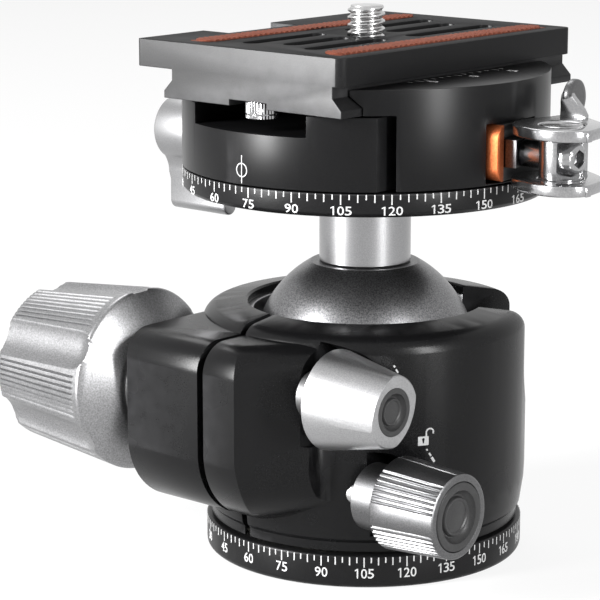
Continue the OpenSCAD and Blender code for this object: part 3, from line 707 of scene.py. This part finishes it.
def buildMainKnob():
    knob = mainKnob
    outer, shoulder, shoulderRadius = knob["outer"], knob["shoulder"], knob["shoulderRadius"]
    slope = (shoulderRadius - knob["outerRadius"]) / (shoulder - outer)
    stations = [(outer + 1.6, 3), (outer + 1.6, 8.1), (outer + 0.15, 8.3), (outer, 8.5), (outer, 12.3),
                (outer + 0.25, 12.95), (outer + 0.9, knob["outerRadius"])]
    x = outer + 1.5
    while x < shoulder - 0.3:
        stations.append((x, knob["outerRadius"] + slope * (x - outer)))
        x += 2.4 if x < shoulder - 8 else 0.4  # finer where the flutes run out
    coneStart, coneRadius = shoulder + 0.3, shoulderRadius - 0.4
    stations += [(shoulder - 0.25, shoulderRadius - 0.02), (shoulder + 0.05, shoulderRadius - 0.15),
                 (coneStart, coneRadius)]
    for step in range(1, 9):
        part = step / 8
        stations.append((coneStart + part * (knob["root"] - coneStart),
                         coneRadius + part * (knob["rootRadius"] - coneRadius)))
    stations.append((knob["root"], knob["bore"]))
    piece = turned("mainKnobGrip", stations, sides=1080, axis="X", at=(0, *knob["axis"]))
    movedFromAxis(piece, knob["axis"], mainKnobRadius)
    smooth(piece, 32)
    return finishPiece(piece, "main_knob", "silver_blasted", "knobSilver", "main_knob")


buildMainKnob()
collar = turned("mainKnobCollar", [(-22.28, 3.1), (-22.28, 8.5), (-22.1, 8.7), (-21.5, 8.7), (-20.95, 8.2),
                                   (-20.92, 3.1)], axis="X", at=(0, *mainKnob["axis"]))
finishPiece(smooth(collar), "main_knob", "black_plastic", "insertBlack", "knob_collar")
print("main knob ready")

# pan knob and friction knob

panKnob = {"axis": (-20.5, 16.1), "hub": 18.4, "hubRadius": 5.5, "root": 24.2, "rootRadius": 7.7,
           "face": 36.5, "taper": 0.75, "insertRadius": 5.6, "insertDepth": 1,
           "groups": (73, 145, 217, 289, 361), "grooves": 7, "groovePitch": 6.6, "grooveHalf": 1.9,
           "grooveDepth": 0.3, "grooveFloor": 6.2}
frictionKnob = {"axis": (-27, 33), "face": 28.5, "insertRadius": 3.9, "insertDepth": 0.75}


def panKnobRadius(x, radius, angle):
    knob = panKnob
    if radius > knob["grooveFloor"] and knob["root"] + 0.35 < x < knob["face"] - 0.25:
        for group in knob["groups"]:
            for groove in range(knob["grooves"]):
                middle = group + (groove - (knob["grooves"] - 1) / 2) * knob["groovePitch"]
                away = abs(aside(angle, middle))
                if away < knob["grooveHalf"]:
                    radius -= knob["grooveDepth"] * (1 - (away / knob["grooveHalf"]) ** 2)
    return radius


def buildPanKnob():
    knob = panKnob
    root, face, rootRadius = knob["root"], knob["face"], knob["rootRadius"]
    hub, hubRadius, bore = knob["hub"] + 0.02, knob["hubRadius"], 2.6
    stations = [(hub, bore), (hub, hubRadius - 0.5), (hub + 0.48, hubRadius), (root - 0.35, hubRadius),
                (root - 0.3, hubRadius - 0.12), (root + 0.02, hubRadius - 0.1),
                (root + 0.02, rootRadius - 0.45), (root + 0.3, rootRadius - 0.1),
                (root + 0.45, rootRadius - 0.04)]
    for part in (0.25, 0.5, 0.75, 0.96):
        stations.append((root + 0.45 + part * (face - root - 0.7), rootRadius - 0.04 - part * knob["taper"]))
    stations += [(face - 0.2, rootRadius - 0.82), (face - 0.08, 6.72), (face - 0.02, 6.55),
                 (face - 0.02, 5.75), (face - 0.15, 5.65), (face - 1.0, 5.6), (face - 1.0, bore)]
    piece = turned("panKnobGrip", stations, sides=720, axis="X", at=(0, *knob["axis"]))
    movedFromAxis(piece, knob["axis"], panKnobRadius)
    smooth(piece, 32)
    return finishPiece(piece, "pan_knob", "silver_blasted", "panKnobSilver", "pan_knob")


def buildInsert(name, knob, body, node):
    # flat outer ring, a sloping trough, a raised ring and a low dome in the middle
    scale = knob["insertRadius"] / panKnob["insertRadius"]
    face = knob["face"] + 0.05
    profile = [(-1.0, 5.0), (-1.0, 5.55), (-0.12, 5.58), (0, 5.46), (0.02, 4.5), (-0.03, 4.32),
               (-0.35, 4.15), (-0.85, 3.75), (-1.05, 3.45), (-1.0, 3.3), (-0.62, 3.16), (-0.45, 3.0),
               (-0.44, 2.85), (-0.55, 2.66), (-0.68, 2.5), (-0.66, 2.3), (-0.52, 1.6), (-0.44, 0.8),
               (-0.42, 0.2)]
    stations = [(face + height * knob["insertDepth"], radius * scale) for height, radius in profile]
    piece = turned(name, stations, sides=96, axis="X", at=(0, *knob["axis"]))
    return finishPiece(smooth(piece, 40), body, "black_plastic", "insertBlack", node)


buildPanKnob()
buildInsert("panKnobInsert", panKnob, "pan_knob", "pan_insert")
friction = softEdges(copyOfNode("frictionKnobGrip", "friction_knob"), 0.25, 3, 12)
finishPiece(friction, "friction_knob", "silver_blasted", "smallKnobSilver", "friction_knob")
buildInsert("frictionKnobInsert", frictionKnob, "friction_knob", "friction_insert")
print("small knobs ready")

# clamp, jaw, plate and housing with softened edges


# used here to paint light and shade: faces that look one way, or lie in a hollow, get a lighter or darker
# material
def paintFaces(piece, finish, rule):  # gives the faces that the rule picks another finish
    piece.data.materials.append(finishes[finish])
    for face in piece.data.polygons:
        if rule(face):
            face.material_index = len(piece.data.materials) - 1


def roundCorners(piece, radius):  # rounds the upright outer corners at the front and back ends
    data = piece.data
    front, back = min(v.co.y for v in data.vertices), max(v.co.y for v in data.vertices)
    weights = data.attributes.new("bevel_weight_edge", "FLOAT", "EDGE")
    for edge in data.edges:
        a, b = (data.vertices[index].co for index in edge.vertices)
        upright = math.hypot(a.x - b.x, a.y - b.y) < 0.01 * mm and abs(a.z - b.z) > 2 * mm
        atEnd = min(a.y - front, back - a.y) < 0.1 * mm and max(a.z, b.z) > 87 * mm
        weights.data[edge.index].value = (1.0 if a.x > 0 else 0.4) if upright and atEnd else 0.0
    addModifier(piece, "BEVEL", width=radius * mm, segments=8, limit_method="WEIGHT", use_clamp_overlap=False)


def softCopy(name, node, width, body, slot, finish, cornerRadius=0):
    piece = copyOfNode(name, node)
    pick(piece)
    editAll()
    bpy.ops.mesh.dissolve_limited(angle_limit=math.radians(0.3))
    bpy.ops.object.mode_set(mode="OBJECT")
    if cornerRadius:
        roundCorners(piece, cornerRadius)
    softEdges(piece, width, 3, 30)
    return finishPiece(piece, body, slot, finish, node)


softPieces = {  # node, width of its rounded edges, body, slot, finish and radius of its corners
    "housingShell": ("housing", 0.35, "housing", "black_gloss", "housingBlack"),
    "clampBodyShell": ("clamp_body", 0.3, "clamp", "black_anodised", "clampBlack"),
    "slidingJaw": ("jaw", 0.3, "jaw", "black_anodised", "clampBlack"),
    "quickPlate": ("plate", 0.25, "plate", "black_anodised", "plateBlack", 1.6),
    "panLeverArm": ("pan_lever", 0.35, "pan_lever", "silver_satin", "leverSilver"),
    "leverButtonScrew": ("lever_screw", 0.2, "pan_lever", "steel", "steel"),
    "baseDialRing": ("base_dial", 0.2, "base", "black_anodised", "dialBlack"),
    "headDialRing": ("head_dial", 0.2, "stem", "black_anodised", "dialBlack"),
    "seatLiner": ("rim_liner", 0.15, "housing", "silver_satin", "stemSilver")}
softCopies = {name: softCopy(name, *settings) for name, settings in softPieces.items()}
# painted shade: the plate's upward faces get a darker copy of its black
paintFaces(softCopies["quickPlate"], "plateTopPaintedShade", lambda face: face.normal.z > 0.9)
# painted light: the plate's front faces get a lighter copy of its black
paintFaces(softCopies["quickPlate"], "plateFrontPaintedLight", lambda face: face.normal.y < -0.97)
print("soft edges ready")

# printed marks on the clamp, the housing and the jaw

clampFace = {"radius": 30.8, "angle": -90, "lineLow": 66.5, "lineHigh": 71, "lineWidth": 0.16,
             "circle": 68.63, "circleRadius": 1.08, "stroke": 0.17}
padlock = {"radius": 27.6, "left": -31.87, "right": -28.04, "low": 24.05, "high": 25.55,
           "keyholeHalf": 0.1, "keyholeFoot": 0.35, "keyholeEye": 0.5, "eyeRadius": 0.24,
           "shackleAt": 2.05, "shackleRadius": 0.62, "stroke": 0.25, "slope": -58,
           "dashes": (((-40.26, 37.5), 0.2, 0.3), ((-39.37, 36.72), 0.5, 0.3), ((-28.58, 23.27), 0.2, 0.25),
                      ((-27.46, 22.43), 0.5, 0.28), ((-26.32, 21.51), 0.75, 0.4))}


def strokePath(points, width):  # a flat stroke along a path, as a chain of small prisms
    pieces = []
    for (ax, ay), (bx, by) in zip(points, points[1:]):
        length = math.hypot(bx - ax, by - ay)
        nx, ny = -(by - ay) / length * width / 2, (bx - ax) / length * width / 2
        ex, ey = (bx - ax) / length * width * 0.3, (by - ay) / length * width * 0.3
        pieces.append(outlinePrism("stroke", [(ax - ex + nx, ay - ey + ny), (ax - ex - nx, ay - ey - ny),
                                              (bx + ex - nx, by + ey - ny), (bx + ex + nx, by + ey + ny)],
                                   -markThickness, markThickness))
    return pieces


def buildIndexMark():
    half, low = clampFace["lineWidth"] / 2, clampFace["lineLow"]
    line = block("line", (-half, 0, -markThickness), (half, clampFace["lineHigh"] - low, markThickness))
    ring = arc((0, clampFace["circle"] - low), clampFace["circleRadius"], 0, 360, 28)
    mark = joined([line] + strokePath(ring, clampFace["stroke"]), "mark")
    wrapped(mark, clampFace["radius"], clampFace["angle"], low)
    printed("clampIndexMark", [mark], "clamp")


def onHousing(angle, height):  # an angle round the axis and a height, on the flat drawing
    return math.radians(angle) * padlock["radius"], height


def buildHousingMarks():
    left, low = onHousing(padlock["left"], padlock["low"])
    right, high = onHousing(padlock["right"], padlock["high"])
    keyhole = left + 0.5 * (right - left)
    half, foot = padlock["keyholeHalf"], low + padlock["keyholeFoot"]
    eye = arc((keyhole, high - padlock["keyholeEye"]), padlock["eyeRadius"], -40, 220, 10)
    body = outlinePrism("padlockBody", [(left, low), (right, low), (right, high), (left, high)],
                        -markThickness, markThickness)
    cut(body, outlinePrism("keyhole", [(keyhole - half, foot), (keyhole + half, foot)] + eye, -1, 1))
    centre, radius = (left + padlock["shackleAt"], high + 0.62), padlock["shackleRadius"]
    shackle = [(centre[0] - radius, high - 0.1)] + arc(centre, radius, 180, -18, 10)
    strokes = [body] + strokePath(shackle, padlock["stroke"])
    slope = math.radians(padlock["slope"])
    for (angle, height), length, width in padlock["dashes"]:
        x, y = onHousing(angle, height)
        step = (math.cos(slope) * length / 2, math.sin(slope) * length / 2)
        strokes += strokePath([(x - step[0], y - step[1]), (x + step[0], y + step[1])], width)
    marks = wrapped(joined(strokes, "marks"), padlock["radius"], 0, 0)
    printed("housingLockMarks", [marks], "housing")


centreScale = {"top": 82.4, "digits": (("5", 21.1, -8.8), ("0", 21.9, 0.9), ("5", 22.4, 10.7)),
               "height": 1.9, "stretch": 0.9, "left": 18.6, "places": range(-12, 13, 2), "long": 1.5,
               "short": 0.8, "half": 0.08}


def buildCentreScale():
    top, height, half = centreScale["top"], centreScale["height"], centreScale["half"]
    pieces = []
    for digit, x, y in centreScale["digits"]:
        piece = drawDigit(digit, height, centreScale["stretch"])
        piece.data.transform(Matrix.Translation((-height * 0.35 * mm, -height / 2 * mm, 0)))
        piece.rotation_euler = (0, 0, math.radians(90))
        piece.location = Vector((x, y, top)) * mm
        pieces.append(settle(piece))
    for y in centreScale["places"]:
        left, length = centreScale["left"], centreScale["short" if y % 10 else "long"]
        pieces.append(block("tick", (left, y - half, top - markThickness),
                            (left + length, y + half, top + markThickness)))
    printed("centreScale", pieces, "jaw")


buildIndexMark()
buildHousingMarks()
buildCentreScale()
print("printed marks ready")

# clamp lever, pin, bolt and saddle

lever = {"axis": (40, 0), "top": (74.58, 76.38), "bottom": (66.02, 67.82), "pinRadius": 3.5,
         "boltHeight": 71.2}
leverArm = (  # height, left and right end of the middle line, thickness
    (75.8, (34.2, 8.1), (39.1, 8.1), 1.3), (76.8, (34.0, 8.5), (39.0, 8.3), 1.3),
    (77.7, (33.6, 9.1), (38.0, 8.9), 1.25), (78.5, (33.1, 9.7), (36.6, 9.6), 1.2),
    (79.3, (32.7, 10.4), (35.1, 10.4), 1.15), (80.1, (32.5, 11.2), (33.9, 11.4), 1.1))
thumbDisc = {"turn": 8, "at": (32.75, 12.5, 78.6)}
saddle = {"low": 66.85, "high": 75.85, "side": 6.1, "corner": 2.2, "inner": 27.35, "outer": 32.1,
          "hollow": 31.01, "hollowRadius": 14, "pocket": ((28.3, -3.6, 69.0), (40, 3.6, 73.7)),
          "bore": 2.25}


def loft(name, rings):  # a skin through rings of corners, each ring with the same count
    deselect()
    count = len(rings[0])
    bpy.ops.mesh.primitive_circle_add(vertices=count, radius=1, fill_type="NGON")
    piece = newest(name)
    editAll()
    for _ in rings[1:]:
        bpy.ops.mesh.extrude_region_move(TRANSFORM_OT_translate={"value": (0, 0, 1)})
    bpy.ops.object.mode_set(mode="OBJECT")
    for vertex in piece.data.vertices:
        x, y, level = vertex.co
        corner = round(math.atan2(y, x) / (2 * math.pi) * count) % count
        vertex.co = Vector(rings[round(level)][corner]) * mm
    return tidyMesh(piece)


def leverOutline():
    x, y = lever["axis"]
    cam = arc((x - 1.386, y + 0.8), 7.15, 150, 262, 22)
    front = [(-1.2, -6.72), (0, -6.92), (1.4, -7.02), (2.8, -6.94), (4.1, -6.6), (5.2, -6.0),
             (6.1, -5.15), (6.8, -4.1), (7.2, -3.1), (7.25, -2.4), (6.95, -0.6), (6.6, 1.2),
             (6.3, 2.8), (4.9, 4.9), (2.9, 6.6), (0.8, 8.0), (-0.7, 8.85), (-6.3, 8.85),
             (-6.75, 8.4), (-6.9, 6.5)]
    return cam + [(x + a, y + b) for a, b in front]


def buildClampLever():
    x, y = lever["axis"]
    pieces = []
    for low, high in (lever["top"], lever["bottom"]):
        plate = outlinePrism("leverPlate", leverOutline(), low, high)
        cut(plate, rod("hole", lever["pinRadius"] + 0.06, low - 1, high + 1, at=(x, y)))
        pieces.append(softEdges(plate, 0.32, 4, 28))
        lip = block("lip", (x + 6.95, y - 3.3, low - 0.02), (x + 7.35, y - 2.1, high - 0.35))
        pieces.append(softEdges(lip, 0.12, 3))
    web = [(x - 6.1, y + 7.15), (x - 0.9, y + 7.15), (x - 0.9, y + 8.85), (x - 6.1, y + 8.85)]
    web = outlinePrism("web", web, lever["bottom"][1] - 0.3, lever["top"][0] + 0.3)
    pieces.append(softEdges(web, 0.2, 3))
    rings = []
    for height, (ax, ay), (bx, by), thick in leverArm:
        dx, dy = bx - ax, by - ay
        long = math.hypot(dx, dy)
        nx, ny = -dy / long * thick / 2, dx / long * thick / 2
        rings.append([(ax + nx, ay + ny, height), (bx + nx, by + ny, height),
                      (bx - nx, by - ny, height), (ax - nx, ay - ny, height)])
    arm = loft("leverArm", rings)
    addModifier(arm, "SUBSURF", levels=1, render_levels=1, subdivision_type="SIMPLE")
    pieces.append(softEdges(arm, 0.25, 3, 40))
    profile = [(0, 2.2), (0, 2.9), (0.15, 3.12), (0.35, 3.22), (1.0, 3.22), (1.25, 3.14), (1.35, 2.9),
               (1.36, 2.2), (1.36, 0.3)]
    disc = turned("thumbDisc", profile, sides=96, axis="X")
    disc.rotation_euler = (0, 0, math.radians(thumbDisc["turn"]))
    disc.location = Vector(thumbDisc["at"]) * mm
    smooth(settle(disc), 40)
    piece = joined(pieces, "clampLeverFork")
    finishPiece(disc, "clamp_lever", "polished", "thumbGrey")
    return finishPiece(piece, "clamp_lever", "polished", "leverPolish", "clamp_lever")


def buildPin():
    x, y = lever["axis"]
    radius = lever["pinRadius"]
    low, high = lever["bottom"][0], lever["top"][1]
    profile = [(low, 2.6), (low, radius - 0.35), (low + 0.12, radius - 0.1), (low + 0.35, radius),
               (high - 0.3, radius), (high - 0.08, radius - 0.12), (high, radius - 0.35),
               (high - 0.1, radius - 0.7), (high - 0.12, 0.3)]
    piece = turned("leverPin", profile, sides=96, at=(x, y, 0))
    cut(piece, rod("bore", 2.2, x - 10, x + 10, axis="X", at=(y, lever["boltHeight"])))
    cut(piece, block("seat", (x + 1.4, y - 3.2, 68), (x + 6, y + 3.2, 74.4)))
    return finishPiece(smooth(piece, 32), "clamp", "polished", "leverPolish", "pivot_pin")


def buildSaddle():
    low, high, side, corner = (saddle[key] for key in ("low", "high", "side", "corner"))
    outline = []
    for cy, cz, start in ((side - corner, high - corner, 0), (-side + corner, high - corner, 90),
                          (-side + corner, low + corner, 180), (side - corner, low + corner, 270)):
        outline += arc((cy, cz), corner, start, start + 90, 7)
    radius = saddle["hollowRadius"]
    piece = outlinePrism("saddleBlock", outline, saddle["inner"], saddle["outer"], "X")
    cut(piece, rod("hollow", radius, 60, 90, at=(saddle["hollow"] + radius, 0)))
    cut(piece, block("pocket", *saddle["pocket"]))
    cut(piece, rod("bore", saddle["bore"], 20, 40, axis="X", at=(0, lever["boltHeight"])))
    softEdges(piece, 0.3, 3, 32)
    piece = finishPiece(piece, "jaw", "copper_orange", "copper", "saddle")
    # painted shade: the hollow's faces towards the pin, beyond x 28.2 mm and y -4 mm, get the dark insert
    # finish in place of copper
    paintFaces(piece, "insertBlack",
               lambda face: face.center.x / mm > 28.2 and face.center.y / mm > -4.0)
    return piece


buildClampLever()
buildPin()
buildSaddle()
softCopy("thrustBlock", "pressure_block", 0.2, "jaw", "brass", "darkSteel")
softCopy("drawBolt", "draw_bolt", 0.15, "clamp", "polished", "leverPolish")
print("clamp lever ready")

# rubber strips, stop screw and camera screw

cameraScrew = {"low": 84.0, "high": 92.55, "radius": 3.12, "root": 2.62, "pitch": 1.27, "step": 0.106,
               "shankCut": 86.5, "clip": 81, "headTop": 80.96}
strips = {"side": 14.8, "ends": (-25.45, 28.55), "root": (86.7, 87.66), "rootHalf": 1.18,
          "cap": (87.62, 87.94), "capHalf": 2.1, "inward": 0.935, "pitch": 1.3, "depth": 0.3}
stopScrew = {"at": (0.4, -26.3), "low": 76.4, "high": 79.3, "radius": 2.68, "knurls": 32,
             "knurlDepth": 0.14, "shankRadius": 1.2}


def buildShank():  # the corners of a rod are moved in and out along a helix
    screw = cameraScrew
    stations = [(screw["low"], screw["radius"])]
    height = screw["low"]
    while height < screw["high"] - 0.12:
        height += screw["step"]
        stations.append((height, screw["radius"]))
    stations += [(screw["high"], screw["root"] - 0.1), (screw["high"], 0.3)]
    piece = turned("cameraScrewThread", stations, sides=64)
    for vertex in piece.data.vertices:
        x, y, z = (value / mm for value in vertex.co)
        radius = math.hypot(x, y)
        if radius < screw["root"] - 0.2:
            continue
        phase = ((z - screw["low"]) / screw["pitch"] - math.atan2(y, x) / (2 * math.pi)) % 1
        wave = min(1, max(0, 1.6 - abs(phase - 0.5) * 4.4))
        fade = min(1, max(0, (screw["high"] - z) / 0.7))
        target = screw["root"] + (screw["radius"] - screw["root"]) * wave * (0.35 + 0.65 * fade)
        ratio = target / radius
        vertex.co.x, vertex.co.y = x * ratio * mm, y * ratio * mm
    return smooth(piece, 50)


def ridges():  # a strip's outline from the side, its top in small ridges along Y
    (front, back), (low, high) = strips["ends"], strips["cap"]
    pitch, valley = strips["pitch"], high - strips["depth"]
    points = []
    y = front
    while y < back - 0.01:
        points += [(y, valley), (y + pitch * 0.3, high), (y + pitch * 0.62, high)]
        y += pitch
    return points + [(back, valley), (back, low), (front, low)]


def buildStrips():
    pieces = []
    (front, back), (low, high) = strips["ends"], strips["root"]
    half, rootHalf = strips["capHalf"], strips["rootHalf"]
    for x in (-strips["side"], strips["side"]):
        pieces.append(block("stripRoot", (x - rootHalf, front, low), (x + rootHalf, back, high)))
        middle = x * strips["inward"]
        cap = outlinePrism("strip", ridges(), middle - half, middle + half, "X")
        ends = arc((middle, back - half), half, 0, 180, 16)
        ends += arc((middle, front + half), half, 180, 360, 16)
        cut(cap, outlinePrism("ends", ends, 80, 95), "INTERSECT")
        pieces.append(softEdges(cap, 0.06, 2, 30))
    return finishPiece(joined(pieces, "ribbedStrips"), "plate", "rubber_brown", "rubberBrown",
                       "rubber_strips")


def buildStopScrew():
    (x, y), low, high, rim = (stopScrew[key] for key in ("at", "low", "high", "radius"))
    stations = [(low, 2.2), (low + 0.02, 2.35), (low + 0.25, rim), (low + 0.75, rim), (low + 0.8, 2.5),
                (low + 0.95, 2.5), (low + 1.0, rim), (high - 0.2, rim), (high, 2.5), (high, 0.3)]
    piece = turned("stopScrewHead", stations, sides=192, at=(x, y, 0))
    for vertex in piece.data.vertices:
        dx, dy = vertex.co.x / mm - x, vertex.co.y / mm - y
        radius = math.hypot(dx, dy)
        if radius > rim - 0.08:
            wave = 0.5 + 0.5 * math.cos(math.atan2(dy, dx) * stopScrew["knurls"])
            target = radius - stopScrew["knurlDepth"] * wave
            vertex.co.x, vertex.co.y = (x + dx * target / radius) * mm, (y + dy * target / radius) * mm
    shank = rod("stopShank", stopScrew["shankRadius"], high - 0.05, high + 2.9, at=(x, y), sides=48)
    piece = joined([smooth(piece, 25), smooth(shank)], "stopScrewHead")
    return finishPiece(piece, "plate", "steel", "leverPolish", "stop_screw")


def buildCameraScrew():
    head = copyOfNode("screwHead", "camera_screw")
    cut(head, block("above", (-9, -9, cameraScrew["shankCut"]), (9, 9, 95)))
    for vertex in head.data.vertices:  # the head's top stays just clear of the clip
        if abs(vertex.co.z / mm - cameraScrew["clip"]) < 0.02:
            vertex.co.z = cameraScrew["headTop"] * mm
    piece = joined([buildShank(), head], "cameraScrewThread")
    return finishPiece(piece, "camera_screw", "steel", "steel", "camera_screw")


buildStrips()
buildStopScrew()
buildCameraScrew()
print("plate's fittings ready")
